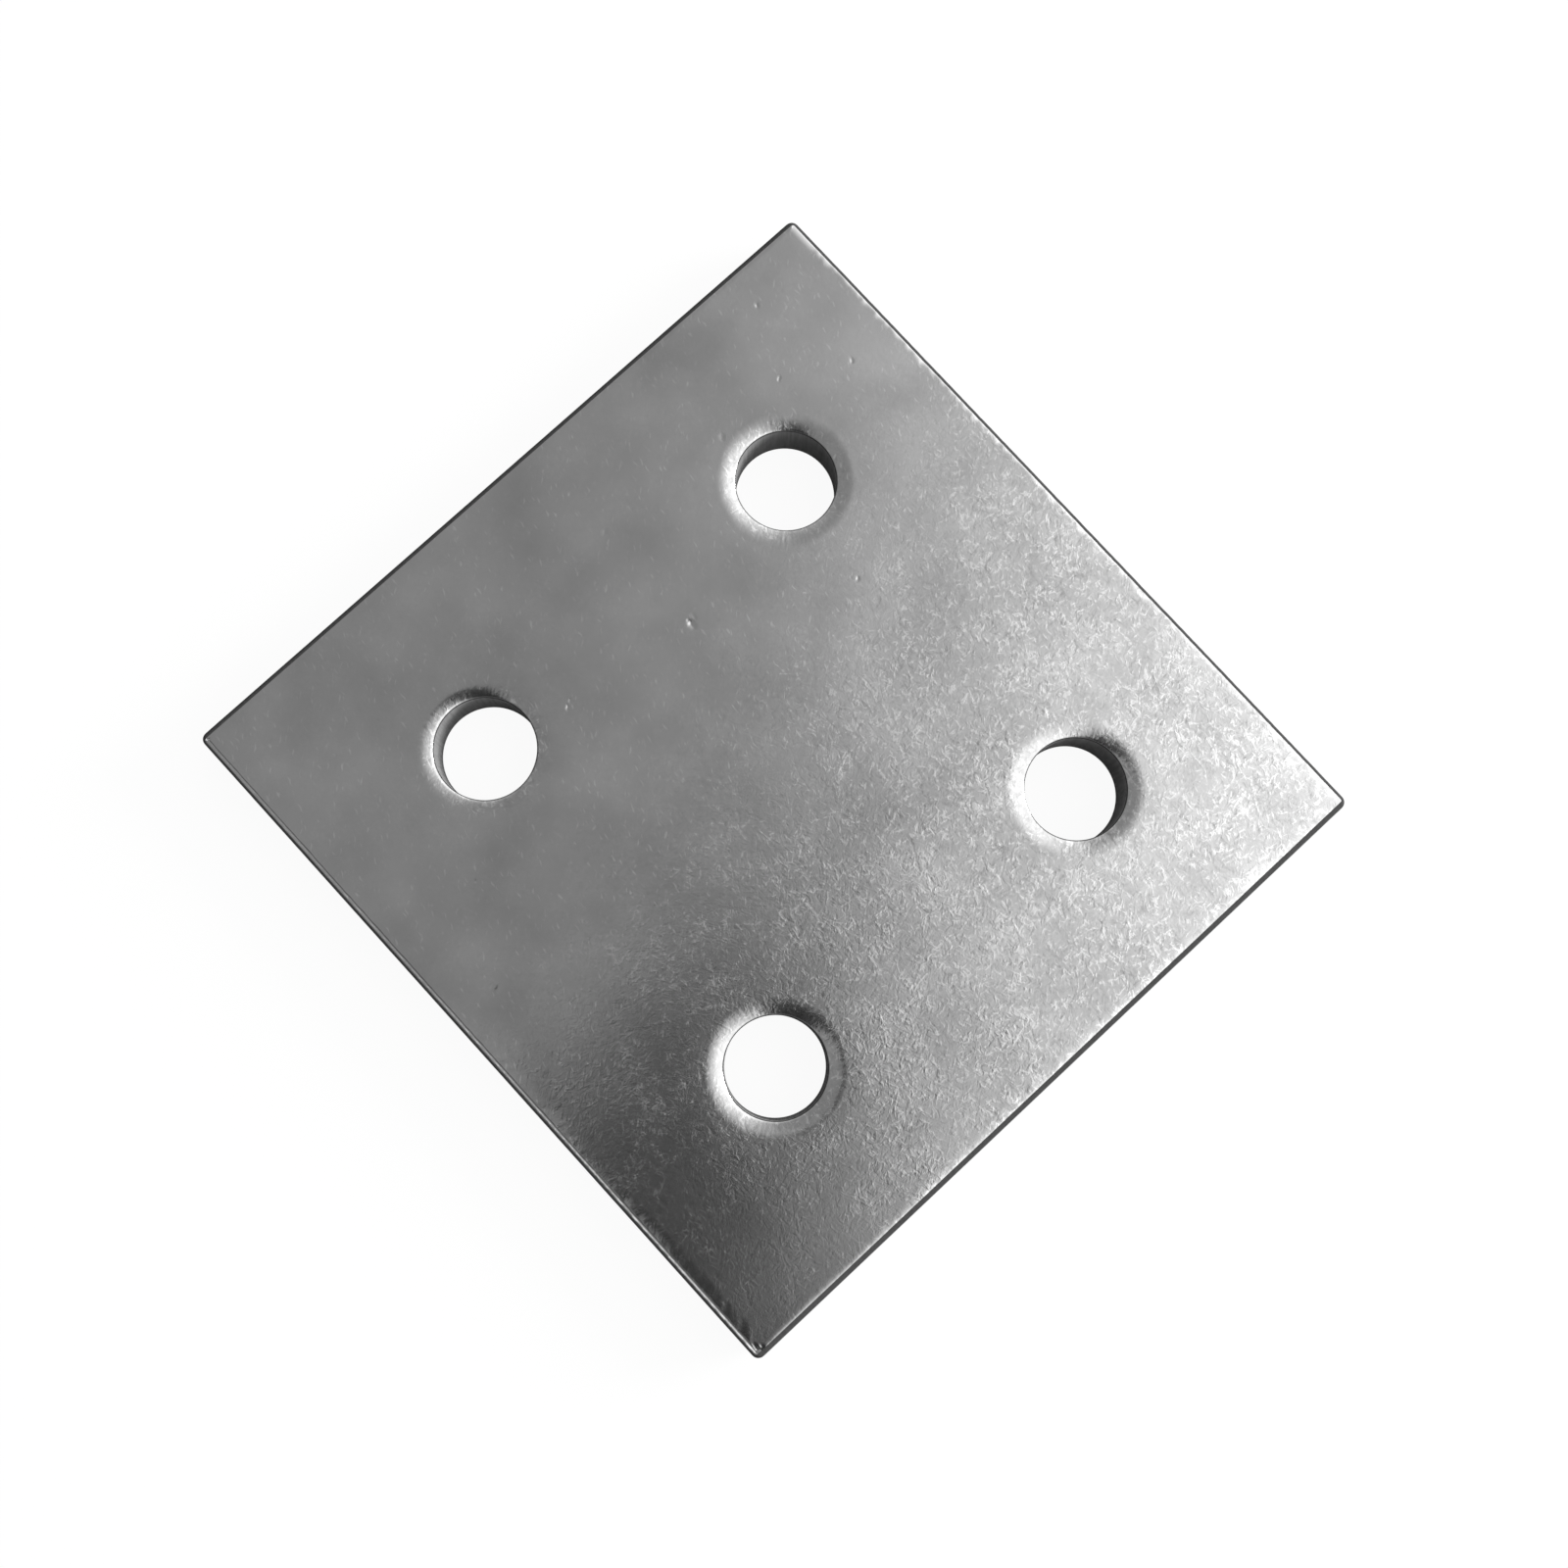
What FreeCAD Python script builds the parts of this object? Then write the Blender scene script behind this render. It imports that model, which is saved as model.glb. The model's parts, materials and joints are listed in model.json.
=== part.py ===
import FreeCAD, Part
import math
import os
import Sketcher

# Driving dimensions, in millimetres
SIZES = {
    "plate_length": 100.0,
    "plate_width": 97.5,
    "plate_thickness": 8.0,
    "corner_radius": 1.0,
    "top_edge_radius": 0.8,
    "under_edge_break": 0.3,
    "hole_diameter": 12.5,
    "hole_from_end": 24.3,
    "hole_from_side": 24.6,
    "hole_pitch_along": 52.0,
    "hole_pitch_across": 49.5,
    "roll_width": 2.2,
    "roll_depth": 0.45,
    "hole_under_break": 0.3,
}

doc = FreeCAD.newDocument("embed_plate")
sheet = doc.addObject("Spreadsheet::Sheet", "sizes")
for row, (name, value) in enumerate(SIZES.items(), start=1):
    sheet.set(f"A{row}", name)
    sheet.set(f"B{row}", str(value))
    sheet.setAlias(f"B{row}", name)
doc.recompute()

body = doc.addObject("PartDesign::Body", "embed_plate")
body.Label = "embed_plate"


def origin_part(role):
    """Return the body's own origin plane or axis with this role."""
    return next(item for item in body.Origin.OriginFeatures if item.Role == role)


def add_sketch(name, plane_role):
    """Add an empty sketch on one of the body's origin planes."""
    sketch = body.newObject("Sketcher::SketchObject", name)
    sketch.AttachmentSupport = [(origin_part(plane_role), "")]
    sketch.MapMode = "FlatFace"
    return sketch


def bind(sketch, constraint, expression):
    """Add a constraint to a sketch and take its value from the sheet."""
    index = sketch.addConstraint(constraint)
    sketch.setExpression(f"Constraints[{index}]", expression)


def dress(kind, name, base, edges, size_property, size_name):
    """Round or break edges of the last feature by a size from the sheet."""
    feature = body.newObject(kind, name)
    feature.Base = (base, edges)
    feature.setExpression(size_property, f"sizes.{size_name}")
    doc.recompute()
    return feature


def edges_where(feature, test):
    """Name the edges of a feature whose lowest and highest points pass a test."""
    names = []
    for index, edge in enumerate(feature.Shape.Edges, start=1):
        box = edge.BoundBox
        if test(box.ZMin, box.ZMax):
            names.append(f"Edge{index}")
    return names


def near(first, second):
    """Tell whether two lengths are the same."""
    return math.isclose(first, second, abs_tol=1e-4)


# Sheared blank, a rectangle centred on the origin with its underside at height zero
half_length = sheet.plate_length / 2
half_width = sheet.plate_width / 2
corners = [
    FreeCAD.Vector(-half_length, -half_width),
    FreeCAD.Vector(half_length, -half_width),
    FreeCAD.Vector(half_length, half_width),
    FreeCAD.Vector(-half_length, half_width),
]
outline = add_sketch("blank_outline", "XY_Plane")
for start, end in zip(corners, corners[1:] + corners[:1]):
    outline.addGeometry(Part.LineSegment(start, end))
for side in range(4):
    outline.addConstraint(Sketcher.Constraint("Coincident", side, 2, (side + 1) % 4, 1))
    outline.addConstraint(Sketcher.Constraint("Vertical" if side % 2 else "Horizontal", side))
outline.addConstraint(Sketcher.Constraint("Symmetric", 0, 1, 2, 1, -1, 1))
bind(outline, Sketcher.Constraint("DistanceX", 0, 1, 0, 2, sheet.plate_length), "sizes.plate_length")
bind(outline, Sketcher.Constraint("DistanceY", 1, 1, 1, 2, sheet.plate_width), "sizes.plate_width")

blank = body.newObject("PartDesign::Pad", "blank")
blank.Profile = outline
blank.setExpression("Length", "sizes.plate_thickness")
doc.recompute()

# Edges: corners eased, the shear's roll-over along the top, the underside only broken
thickness = sheet.plate_thickness
uprights = edges_where(blank, lambda low, high: near(low, 0) and near(high, thickness))
rounded = dress("PartDesign::Fillet", "rounded_corners", blank, uprights, "Radius", "corner_radius")
top_edges = edges_where(rounded, lambda low, high: near(low, thickness))
rolled = dress("PartDesign::Fillet", "rolled_edges", rounded, top_edges, "Radius", "top_edge_radius")
under_edges = edges_where(rolled, lambda low, high: near(high, 0))
broken = dress("PartDesign::Chamfer", "broken_edges", rolled, under_edges, "Size", "under_edge_break")

# Section of a punched hole, turned about its own upright axis: the metal drawn down round the punch
# as an arc that leaves the top face at a tangent, a straight wall, and a broken edge on the underside
radius = sheet.hole_diameter / 2
roll_radius = (sheet.roll_width**2 + sheet.roll_depth**2) / (2 * sheet.roll_depth)
rim = FreeCAD.Vector(radius + sheet.roll_width, thickness)
lip = FreeCAD.Vector(radius, thickness - sheet.roll_depth)
wall_foot = FreeCAD.Vector(radius, sheet.hole_under_break)
mouth = FreeCAD.Vector(radius + sheet.hole_under_break, 0)
axis_foot = FreeCAD.Vector(0, 0)
axis_head = FreeCAD.Vector(0, thickness)
roll_centre = FreeCAD.Vector(rim.x, thickness - roll_radius)
lip_angle = math.atan2(lip.y - roll_centre.y, lip.x - roll_centre.x)
roll_circle = Part.Circle(roll_centre, FreeCAD.Vector(0, 0, 1), roll_radius)

section = add_sketch("hole_section", "XZ_Plane")
section.setExpression("AttachmentOffset.Base.x", "sizes.hole_from_end - sizes.plate_length / 2")
section.setExpression("AttachmentOffset.Base.z", "sizes.plate_width / 2 - sizes.hole_from_side")
TOP, ROLL, WALL, BREAK, UNDER, AXIS = (
    section.addGeometry(piece)
    for piece in (
        Part.LineSegment(axis_head, rim),
        Part.ArcOfCircle(roll_circle, math.pi / 2, lip_angle),
        Part.LineSegment(lip, wall_foot),
        Part.LineSegment(wall_foot, mouth),
        Part.LineSegment(mouth, axis_foot),
        Part.LineSegment(axis_foot, axis_head),
    )
)
for joined in (
    (TOP, 2, ROLL, 1),
    (ROLL, 2, WALL, 1),
    (WALL, 2, BREAK, 1),
    (BREAK, 2, UNDER, 1),
    (UNDER, 2, AXIS, 1),
    (AXIS, 2, TOP, 1),
    (AXIS, 1, -1, 1),
):
    section.addConstraint(Sketcher.Constraint("Coincident", *joined))
section.addConstraint(Sketcher.Constraint("Horizontal", TOP))
section.addConstraint(Sketcher.Constraint("Horizontal", UNDER))
section.addConstraint(Sketcher.Constraint("Vertical", WALL))
section.addConstraint(Sketcher.Constraint("Vertical", AXIS))
section.addConstraint(Sketcher.Constraint("Vertical", ROLL, 3, ROLL, 1))
under_break = sheet.hole_under_break
for direction, ends, value, expression in (
    ("DistanceY", (AXIS, 1, AXIS, 2), thickness, "sizes.plate_thickness"),
    ("DistanceX", (AXIS, 1, WALL, 2), radius, "sizes.hole_diameter / 2"),
    ("DistanceX", (ROLL, 2, ROLL, 1), sheet.roll_width, "sizes.roll_width"),
    ("DistanceY", (ROLL, 2, ROLL, 1), sheet.roll_depth, "sizes.roll_depth"),
    ("DistanceX", (WALL, 2, BREAK, 2), under_break, "sizes.hole_under_break"),
    ("DistanceY", (BREAK, 2, WALL, 2), under_break, "sizes.hole_under_break"),
):
    bind(section, Sketcher.Constraint(direction, *ends, value), expression)

punched_hole = body.newObject("PartDesign::Groove", "punched_hole")
punched_hole.Profile = section
punched_hole.ReferenceAxis = (section, ["V_Axis"])
punched_hole.Angle = 360
doc.recompute()

# The other holes, one pitch along and one pitch across from the first
punched_holes = body.newObject("PartDesign::MultiTransform", "punched_holes")
punched_holes.Originals = [punched_hole]
rows = []
for name, axis_role, pitch in (
    ("holes_along", "X_Axis", "hole_pitch_along"),
    ("holes_across", "Y_Axis", "hole_pitch_across"),
):
    row = body.newObject("PartDesign::LinearPattern", name)
    row.Direction = (origin_part(axis_role), [""])
    row.Occurrences = 2
    row.setExpression("Length", f"sizes.{pitch}")
    rows.append(row)
punched_holes.Transformations = rows
body.Tip = punched_holes
doc.recompute()

# Each hole takes away its section's area times the way that the area's centre goes round the axis
faults = [item.Name for item in doc.Objects if {"Invalid", "Error"} & set(item.State)]
if faults:
    raise RuntimeError(f"not built: {', '.join(faults)}")
plate = body.Shape
if plate.isNull() or not plate.isValid() or len(plate.Solids) != 1:
    raise RuntimeError("the plate isn't one valid solid")
hole_face = Part.Face(section.Shape)
upright = FreeCAD.Vector(0, 0, 1)
hole_reach = hole_face.CenterOfMass.distanceToLine(section.Placement.Base, upright)
hole_volume = 2 * math.pi * hole_reach * hole_face.Area
removed = broken.Shape.Volume - plate.Volume
if not math.isclose(removed, 4 * hole_volume, rel_tol=1e-4):
    raise RuntimeError("the holes aren't all cut through")

os.makedirs("parts", exist_ok=True)
plate.exportStep(f"parts/{body.Label}.step")
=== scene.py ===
"""A zinc-plated steel embed plate, punched with anchor holes, on a plain white studio floor."""

import json
import logging
import math
from collections.abc import Callable, Iterable
from dataclasses import dataclass, field
from enum import Enum
from functools import partial
from typing import Any

import bmesh
import bpy
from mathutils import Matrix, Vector, noise


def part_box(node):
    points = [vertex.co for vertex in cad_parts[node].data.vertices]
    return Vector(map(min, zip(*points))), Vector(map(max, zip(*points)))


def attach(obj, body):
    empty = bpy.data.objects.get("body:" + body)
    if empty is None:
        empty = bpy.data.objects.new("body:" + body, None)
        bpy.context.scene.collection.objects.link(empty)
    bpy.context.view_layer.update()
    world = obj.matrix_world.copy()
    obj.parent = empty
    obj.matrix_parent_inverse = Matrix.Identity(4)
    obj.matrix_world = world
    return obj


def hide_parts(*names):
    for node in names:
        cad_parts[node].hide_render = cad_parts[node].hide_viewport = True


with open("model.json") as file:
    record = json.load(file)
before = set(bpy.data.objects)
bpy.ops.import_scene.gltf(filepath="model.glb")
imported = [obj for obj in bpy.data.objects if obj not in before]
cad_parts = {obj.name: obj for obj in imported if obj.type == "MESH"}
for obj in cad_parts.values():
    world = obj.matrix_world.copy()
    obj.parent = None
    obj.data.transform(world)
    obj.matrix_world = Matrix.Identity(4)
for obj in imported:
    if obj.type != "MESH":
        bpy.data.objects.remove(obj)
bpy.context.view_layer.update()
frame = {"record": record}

log = logging.getLogger("embed_plate")

MM = 0.001
# Makes a node that maps a range ease at both ends
EASED = {"interpolation_type": "SMOOTHSTEP"}

Span = tuple[float, float]
AddNode = Callable[..., Any]


def linear(hex_colour: str) -> tuple[float, float, float, float]:
    """Turn an sRGB hex colour into linear light.

    Args:
        hex_colour: six hex digits, such as "b4b4b2".

    Returns:
        Red, green, blue and an alpha of one.
    """
    channels = []
    for place in (0, 2, 4):
        level = int(hex_colour[place : place + 2], 16) / 255
        channels.append(level / 12.92 if level <= 0.04045 else ((level + 0.055) / 1.055) ** 2.4)
    return (*channels, 1.0)


def smooth_step(value: float) -> float:
    """Ease a value from 0 to 1."""
    held = min(max(value, 0.0), 1.0)
    return held * held * (3.0 - 2.0 * held)


def polar(azimuth: float, elevation: float) -> Vector:
    """Give the direction at an azimuth and an elevation in degrees."""
    turn, lift = math.radians(azimuth), math.radians(elevation)
    return Vector((math.cos(lift) * math.cos(turn), math.cos(lift) * math.sin(turn), math.sin(lift)))


def add_node(
    tree: bpy.types.NodeTree, kind: str, sockets: dict[Any, Any], output: int | str = 0, **settings: Any
) -> bpy.types.NodeSocket | None:
    """Add a node, with its settings, its socket values and the links into it.

    Args:
        tree: the node tree that gets the node.
        kind: the node's type.
        sockets: input name or number to a value, or to the output socket that feeds it.
        output: the name or number of the output to hand back.
        **settings: the node's own settings.

    Returns:
        The output asked for, or None from a node that has none.
    """
    made = tree.nodes.new(kind)
    for name, value in settings.items():
        setattr(made, name, value)
    for key, value in sockets.items():
        if isinstance(value, bpy.types.NodeSocket):
            tree.links.new(value, made.inputs[key])
        else:
            made.inputs[key].default_value = value
    return made.outputs[output] if made.outputs else None


def between(ends: Span = (0.0, 1.0), levels: Span = (0.0, 1.0)) -> dict[int, float]:
    """Give the sockets that map a range of values to a range of levels."""
    return {1: ends[0], 2: ends[1], 3: levels[0], 4: levels[1]}


def pattern(
    add: AddNode,
    kind: str,
    place: bpy.types.NodeSocket,
    size_mm: Iterable[float],
    output: int | str = 0,
    turn: float = 0.0,
    shift_mm: float = 0.0,
    **sockets: float,
) -> bpy.types.NodeSocket:
    """Lay a texture at a real size.

    Args:
        add: adds a node to the material's tree.
        kind: the texture node's type.
        place: the coordinates that the texture is laid on.
        size_mm: the size of one feature along the three axes, in millimetres.
        output: the texture's output to hand back.
        turn: how far the texture is turned about the upright axis, in radians.
        shift_mm: how far the texture is moved along the plate, in millimetres.
        **sockets: the texture's other values.

    Returns:
        The texture's output.
    """
    laid = {
        "Vector": place,
        "Location": [shift_mm * MM, 0.0, 0.0],
        "Rotation": [0.0, 0.0, turn],
        "Scale": [size * MM for size in size_mm],
    }
    laid = add("ShaderNodeMapping", laid, vector_type="TEXTURE")
    return add(kind, {"Vector": laid, "Scale": 1.0, **sockets}, output)


def new_material(name: str) -> bpy.types.Material:
    """Make a material with an empty node tree.

    Args:
        name: the material's name.

    Returns:
        The material.
    """
    made = bpy.data.materials.new(name)
    made.use_nodes = True
    made.node_tree.nodes.clear()
    return made


class Surface(Enum):
    """The plate's kinds of surface, in the order of its material slots."""

    FACE = 0
    WALL = 1
    RIM = 2
    SIDE = 3


@dataclass(frozen=True)
class RolledZinc:
    """Bright zinc electroplate on a rolled face.

    It gives the eye a satin grey with soft clouds. Where the marks are strong its grain shows as fine
    crinkles in the relief that catch the light on one side; their tone is painted lighter on the ridges and
    darker in the grooves, a painted highlight and shade, and painted glints and bright strokes lie here and
    there. The finest real crinkles are thinner than a pixel of the picture, so they are drawn coarser.
    """

    name: str = "zinc_electroplate_on_rolled_steel"
    light_colour: str = "d5d5d5"
    dark_colour: str = "9b9b9b"
    roughness: float = 0.15
    cloud_mm: float = 10.0
    cloud_least: float = 0.1
    cloud_tone: float = 0.8
    drift_mm: float = 1.2
    drift_reach_mm: float = 0.6
    crowd_mm: float = 5.0
    crowd_range: Span = (0.35, 0.65)
    crowd_share: Span = (0.62, 1.2)
    patch_mm: float = 1.3
    patch_range: Span = (0.38, 0.6)
    patch_shift_mm: float = 9.0
    needle_directions: int = 7
    needle_mm: tuple[float, float, float] = (1.4, 0.3, 1.0)
    needle_coarser: float = 1.45
    needle_range: Span = (0.3, 0.7)
    needle_depth_mm: float = 0.0034
    needle_tone: float = 0.17
    glint_range: Span = (0.4, 0.8)
    glint_tone: float = 0.4
    flake_mm: tuple[float, float, float] = (1.7, 0.7, 1.0)
    flake_turns: tuple[float, ...] = (0.6, 2.1)
    flake_tone: float = 0.14
    stroke_mm: tuple[float, float, float] = (1.4, 0.36, 1.0)
    stroke_turns: tuple[float, ...] = (2.3, 2.7, 3.0)
    stroke_range: Span = (0.74, 0.84)
    stroke_tone: float = 0.9
    stroke_least: float = 0.18

    def material(self) -> bpy.types.Material:
        """Build the node material.

        Returns:
            The material.
        """
        made = new_material(self.name)
        add = partial(add_node, made.node_tree)
        place = add("ShaderNodeTexCoord", {}, "Object")
        drifted = self.drifted(add, place)
        marks_and_glints = self.marks_and_glints(add, place)
        needles = self.needles(add, place, drifted)
        needles = add("ShaderNodeMath", {0: needles, 1: marks_and_glints}, operation="MULTIPLY")
        flakes = add("ShaderNodeMath", {0: self.flakes(add, drifted), 1: marks_and_glints}, operation="MULTIPLY")
        # Painted highlights: the sparse bright strokes, and the glints on the tallest crinkle ridges, are
        # painted lighter in the base colour
        strewn = add("ShaderNodeMapRange", {0: marks_and_glints, **between(levels=(self.stroke_least, 1.0))})
        strokes = add("ShaderNodeMath", {0: self.strokes(add, drifted), 1: strewn}, operation="MULTIPLY")
        glints = add("ShaderNodeMapRange", {0: needles, **between(self.glint_range, (0.0, self.glint_tone))})
        cloud = pattern(add, "ShaderNodeTexNoise", place, [self.cloud_mm] * 3, Detail=2.0)
        share = self.cloud_least
        # The clouds and flakes are the zinc's own tone; the crinkles' tone follows their height, ridges
        # painted lighter and grooves darker, a painted highlight and shade over the real relief
        for part, tone in (
            (cloud, self.cloud_tone),
            (needles, self.needle_tone),
            (flakes, self.flake_tone),
            (glints, 1.0),
            (strokes, 1.0),
        ):
            share = add("ShaderNodeMath", {0: part, 1: tone, 2: share}, operation="MULTIPLY_ADD")
        colours = {0: share, 6: linear(self.dark_colour), 7: linear(self.light_colour)}
        colour = add("ShaderNodeMix", colours, 2, data_type="RGBA")
        relief = {"Height": needles, "Strength": 1.0, "Distance": self.needle_depth_mm * MM}
        zinc = {
            "Base Color": colour,
            "Metallic": 1.0,
            "Roughness": self.roughness,
            "Normal": add("ShaderNodeBump", relief),
        }
        add("ShaderNodeOutputMaterial", {"Surface": add("ShaderNodeBsdfPrincipled", zinc)})
        return made

    def drifted(self, add: AddNode, place: bpy.types.NodeSocket) -> bpy.types.NodeSocket:
        """Bend the coordinates a little, so that no mark runs straight.

        Args:
            add: adds a node to the material's tree.
            place: the object's coordinates.

        Returns:
            The bent coordinates.
        """
        drift = pattern(add, "ShaderNodeTexNoise", place, [self.drift_mm] * 3, "Color")
        drift = add("ShaderNodeVectorMath", {0: drift, 1: [0.5] * 3}, operation="SUBTRACT")
        drift = add("ShaderNodeVectorMath", {0: drift, "Scale": self.drift_reach_mm * MM}, operation="SCALE")
        return add("ShaderNodeVectorMath", {0: place, 1: drift}, operation="ADD")

    def marks_and_glints(self, add: AddNode, place: bpy.types.NodeSocket) -> bpy.types.NodeSocket:
        """Read the strength of the marks and of their painted glints, and let the marks crowd here and thin
        out there.

        Args:
            add: adds a node to the material's tree.
            place: the object's coordinates.

        Returns:
            The strength of the marks and of their painted glints.
        """
        stored_marks = add("ShaderNodeAttribute", {}, "Fac", attribute_name="marks_and_glints")
        crowd = pattern(add, "ShaderNodeTexNoise", place, [self.crowd_mm] * 3, Detail=2.0)
        crowd = add("ShaderNodeMapRange", {0: crowd, **between(self.crowd_range, self.crowd_share)})
        return add("ShaderNodeMath", {0: stored_marks, 1: crowd}, operation="MULTIPLY")

    def needles(
        self, add: AddNode, place: bpy.types.NodeSocket, drifted: bpy.types.NodeSocket
    ) -> bpy.types.NodeSocket:
        """Lay the crinkles as short ridges and grooves, in patches that each have their own direction.

        Args:
            add: adds a node to the material's tree.
            place: the object's coordinates.
            drifted: the bent coordinates.

        Returns:
            The height of the crinkles, about zero.
        """
        needles = 0.0
        for number in range(self.needle_directions):
            shift = self.patch_shift_mm * number
            patch = pattern(
                add, "ShaderNodeTexNoise", place, [self.patch_mm] * 3, shift_mm=shift, Detail=1.0
            )
            patch = add("ShaderNodeMapRange", {0: patch, **between(self.patch_range)}, **EASED)
            coarser = 1.0 if number % 2 else self.needle_coarser
            size = [coarser * length for length in self.needle_mm]
            turn = math.pi * number / self.needle_directions
            needle = pattern(add, "ShaderNodeTexNoise", drifted, size, turn=turn, Detail=1.5)
            needle = add("ShaderNodeMapRange", {0: needle, **between(self.needle_range, (-1.0, 1.0))})
            # Squared with its sign kept, so that the ridges stand apart on a calmer ground
            strength = add("ShaderNodeMath", {0: needle}, operation="ABSOLUTE")
            needle = add("ShaderNodeMath", {0: needle, 1: strength}, operation="MULTIPLY")
            needles = add("ShaderNodeMath", {0: needle, 1: patch, 2: needles}, operation="MULTIPLY_ADD")
        return needles

    def flakes(self, add: AddNode, drifted: bpy.types.NodeSocket) -> bpy.types.NodeSocket:
        """Lay the small flakes of zinc, each of its own tone.

        Args:
            add: adds a node to the material's tree.
            drifted: the bent coordinates.

        Returns:
            The tone of the flakes, about zero.
        """
        flakes = 0.0
        for turn in self.flake_turns:
            flake = pattern(add, "ShaderNodeTexVoronoi", drifted, self.flake_mm, "Color", turn=turn)
            flake = add("ShaderNodeSeparateColor", {0: flake})
            flake = add("ShaderNodeMapRange", {0: flake, **between(levels=(-0.5, 0.5))})
            flakes = add("ShaderNodeMath", {0: flakes, 1: flake}, operation="ADD")
        return flakes

    def strokes(self, add: AddNode, drifted: bpy.types.NodeSocket) -> bpy.types.NodeSocket:
        """Lay the sparse bright strokes, which lie roughly one way: painted highlights in the base colour.

        Args:
            add: adds a node to the material's tree.
            drifted: the bent coordinates.

        Returns:
            The tone of the strokes, from zero up.
        """
        strokes = 0.0
        for turn in self.stroke_turns:
            stroke = pattern(add, "ShaderNodeTexNoise", drifted, self.stroke_mm, turn=turn, Detail=0.0)
            seen = between(self.stroke_range, (0.0, self.stroke_tone))
            stroke = add("ShaderNodeMapRange", {0: stroke, **seen})
            strokes = add("ShaderNodeMath", {0: strokes, 1: stroke}, operation="ADD")
        return strokes


@dataclass(frozen=True)
class CutZinc:
    """Thin, dull zinc electroplate on the walls, sides and edges that a tool cut.

    It gives the eye a matt grey, streaked up and down the way the tool went. The real scores are finer than a
    pixel of the picture, so they are drawn coarser.
    """

    name: str
    light_colour: str
    dark_colour: str
    roughness: float
    metallic: float = 0.0
    streak_mm: tuple[float, float, float] = (0.35, 0.35, 6.0)
    streak_depth_mm: float = 0.02

    def material(self) -> bpy.types.Material:
        """Build the node material.

        Returns:
            The material.
        """
        made = new_material(self.name)
        add = partial(add_node, made.node_tree)
        place = add("ShaderNodeTexCoord", {}, "Object")
        streak = pattern(add, "ShaderNodeTexNoise", place, self.streak_mm, Detail=2.0)
        colours = {0: streak, 6: linear(self.dark_colour), 7: linear(self.light_colour)}
        relief = {"Height": streak, "Strength": 1.0, "Distance": self.streak_depth_mm * MM}
        zinc = {
            "Base Color": add("ShaderNodeMix", colours, 2, data_type="RGBA"),
            "Metallic": self.metallic,
            "Roughness": self.roughness,
            "Specular IOR Level": 0.0,
            "Normal": add("ShaderNodeBump", relief),
        }
        add("ShaderNodeOutputMaterial", {"Surface": add("ShaderNodeBsdfPrincipled", zinc)})
        return made


FINISHES = {
    Surface.FACE: RolledZinc(),
    # Inside the holes the punch left a torn, matt wall: mid grey in the light and dark where none reaches
    Surface.WALL: CutZinc("zinc_electroplate_on_punched_steel", "929292", "6a6a6a", 0.65),
    # The upper rounds of the edges and the lips of the holes are painted dark grey, a painted dark reflection
    # that draws a thin dark line round the face and the holes
    Surface.RIM: CutZinc("zinc_electroplate_on_edges_painted_dark", "4c4c4c", "363636", 0.6),
    # The shear left the sides brighter and still metallic, with a broad soft gloss
    Surface.SIDE: CutZinc("zinc_electroplate_on_sheared_steel", "a8a8a8", "747474", 0.42, metallic=1.0),
}


@dataclass(frozen=True)
class Hole:
    """A punched hole: the place of its axis and the radius of its wall, in millimetres."""

    x: float
    y: float
    radius: float

    def beyond(self, spot: Vector) -> float:
        """Tell how far a spot is outside the hole's wall."""
        return math.hypot(spot.x - self.x, spot.y - self.y) - self.radius


@dataclass(frozen=True)
class Nick:
    """A small nick in the top face: place, half length, half width and depth in mm, turn in degrees."""

    x: float
    y: float
    length: float = 0.7
    width: float = 0.3
    turn: float = 137.0
    depth: float = 0.035
    ragged: float = 0.5
    ragged_mm: float = 0.3

    @property
    def spot(self) -> Vector:
        """Give the nick's middle."""
        return Vector((self.x, self.y))

    def depth_at(self, place: Vector) -> float:
        """Tell how deep the nick is at a place.

        Args:
            place: the place on the top face.

        Returns:
            The depth there, zero outside the nick.
        """
        lying = polar(self.turn, 0.0).xy
        off = place.xy - self.spot
        away = math.hypot(off.dot(lying) / self.length, off.cross(lying) / self.width)
        away *= 1.0 + self.ragged * noise.noise(place / self.ragged_mm)
        return self.depth * smooth_step(1.0 - away)


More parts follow.
